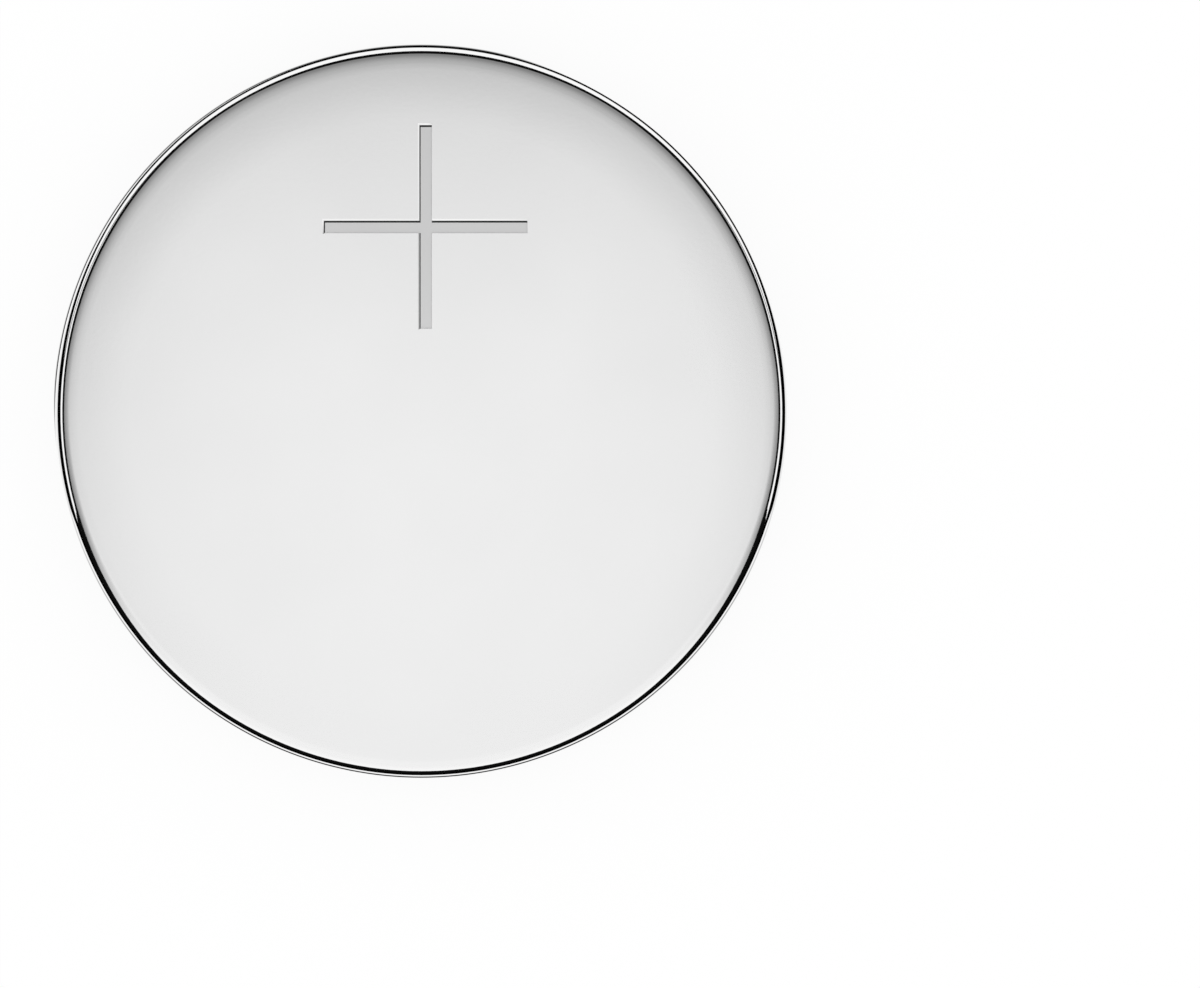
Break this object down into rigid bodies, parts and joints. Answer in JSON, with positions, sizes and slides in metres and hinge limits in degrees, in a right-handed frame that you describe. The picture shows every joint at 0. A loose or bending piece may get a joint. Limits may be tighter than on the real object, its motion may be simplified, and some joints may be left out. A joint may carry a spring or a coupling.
{
  "type": "lithium coin cell",
  "caption": "Flat round lithium battery: a crimped steel can with a coined plus sign, a plastic seal ring and a steel cap, with the electrode stack inside.",
  "frame": {"origin": "middle of the negative contact face, on which the cell rests", "axes": "+Z along the cell's axis, out through the positive face; +Y from the middle of the cell towards the plus mark"},
  "size_m": [0.02, 0.02, 0.0025],
  "materials": {
    "can_steel": "satin nickel plate on stainless sheet, fine even grain, bright at the bends",
    "cap_steel": "smooth bright stainless sheet",
    "seal_plastic": "moulded dark polypropylene, slightly waxy",
    "lithium_metal": "soft dull rolled foil",
    "separator_felt": "white non-woven polypropylene felt",
    "pellet_oxide": "pressed black powder, dull",
    "mesh_steel": "expanded stainless mesh, dull"
  },
  "bodies": {
    "root": {"positive_can": "can_steel", "sealing_gasket": "seal_plastic", "negative_cap": "cap_steel", "lithium_anode": "lithium_metal", "separator": "separator_felt", "cathode_pellet": "pellet_oxide", "cathode_collector": "mesh_steel"}
  },
  "joints": []
}
